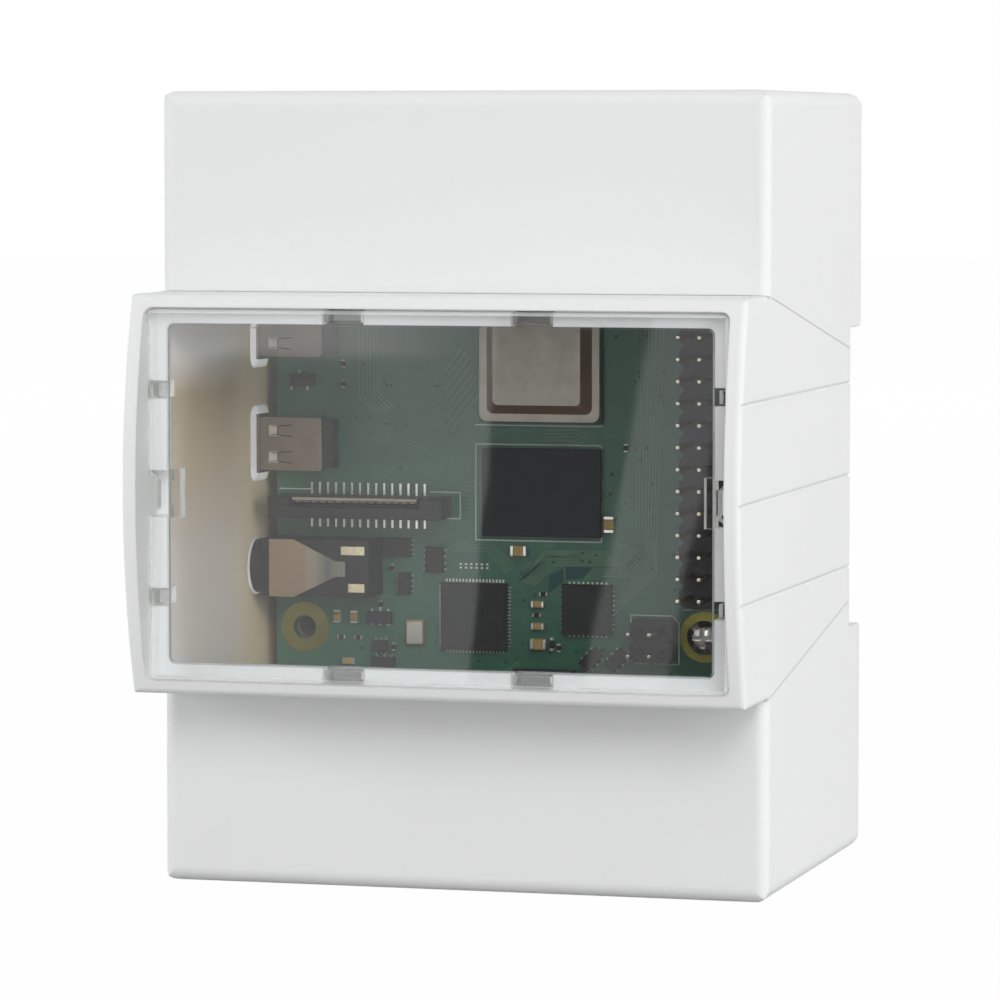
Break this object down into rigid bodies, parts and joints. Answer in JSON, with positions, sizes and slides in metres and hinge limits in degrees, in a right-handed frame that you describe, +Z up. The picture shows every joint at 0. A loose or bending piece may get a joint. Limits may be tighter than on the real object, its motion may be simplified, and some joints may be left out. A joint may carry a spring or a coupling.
{
  "type": "single-board computer case",
  "caption": "White rail-mounted housing with an arched front bezel and a clear snap-in panel over a single-board computer, with plug cut-outs and a sprung rail latch.",
  "frame": {"origin": "centre of the bounding box at the bottom face", "axes": "+Z up the front face, -Y out of the clear panel, +Y towards the rail, X along the rail"},
  "size_m": [0.071, 0.064, 0.0905],
  "materials": {
    "housing": "white moulded plastic with a fine matt texture",
    "latch": "grey moulded plastic",
    "clear_panel": "clear polished plastic",
    "board": "green solder resist",
    "metal": "bright tinned steel",
    "lid": "satin nickel",
    "chip": "black moulding compound",
    "ceramic": "tan ceramic",
    "black_plastic": "black plastic",
    "grey_plastic": "dark grey plastic",
    "blue_plastic": "blue plastic",
    "gold": "gold plated",
    "tin": "tinned",
    "light": "milky lens"
  },
  "bodies": {
    "case": {"rear_base": "housing", "front_frame": "housing", "upper_end_cover": "housing", "lower_end_cover": "housing", "circuit_board": "board", "board_screws": "metal", "processor_substrate": "board", "processor_lid": "lid", "memory_chip": "chip", "network_chip": "chip", "port_chip": "chip", "power_chip": "chip", "small_chips": "chip", "wireless_shield": "metal", "crystal_can": "ceramic", "header_strip": "black_plastic", "header_pins": "gold", "aux_header_strip": "black_plastic", "aux_header_pins": "gold", "video_socket_upper": "metal", "video_socket_lower": "metal", "video_inserts": "black_plastic", "power_socket": "metal", "power_insert": "black_plastic", "audio_jack_body": "black_plastic", "audio_jack_plate": "lid", "audio_jack_tabs": "gold", "camera_ribbon_socket": "grey_plastic", "camera_ribbon_pins": "tin", "display_ribbon_socket": "grey_plastic", "display_ribbon_pins": "tin", "network_jack_shell": "metal", "network_jack_insert": "black_plastic", "data_port_inner": "metal", "data_port_outer": "metal", "data_tongues_inner": "blue_plastic", "data_tongues_outer": "black_plastic", "memory_card_slot": "metal", "capacitors": "ceramic", "resistors": "chip", "part_terminals": "tin", "inductors": "chip", "status_lights": "light"},
    "latch": {"rail_latch": "latch"},
    "panel": {"window_panel": "clear_panel"},
    "camera_collar": {"camera_ribbon_collar": "black_plastic"},
    "display_collar": {"display_ribbon_collar": "black_plastic"}
  },
  "joints": [
    {"name": "latch_slide", "type": "slide", "parent": "case", "child": "latch", "axis": [0, 0, -1], "range_m": [0, 0.0024], "stiffness_N_per_m": 1000},
    {"name": "panel_pull", "type": "slide", "parent": "case", "child": "panel", "axis": [0, -1, 0], "range_m": [0, 0.012]},
    {"name": "camera_collar_lift", "type": "slide", "parent": "case", "child": "camera_collar", "axis": [0, -1, 0], "range_m": [0, 0.0012]},
    {"name": "display_collar_lift", "type": "slide", "parent": "case", "child": "display_collar", "axis": [0, -1, 0], "range_m": [0, 0.0012]}
  ]
}
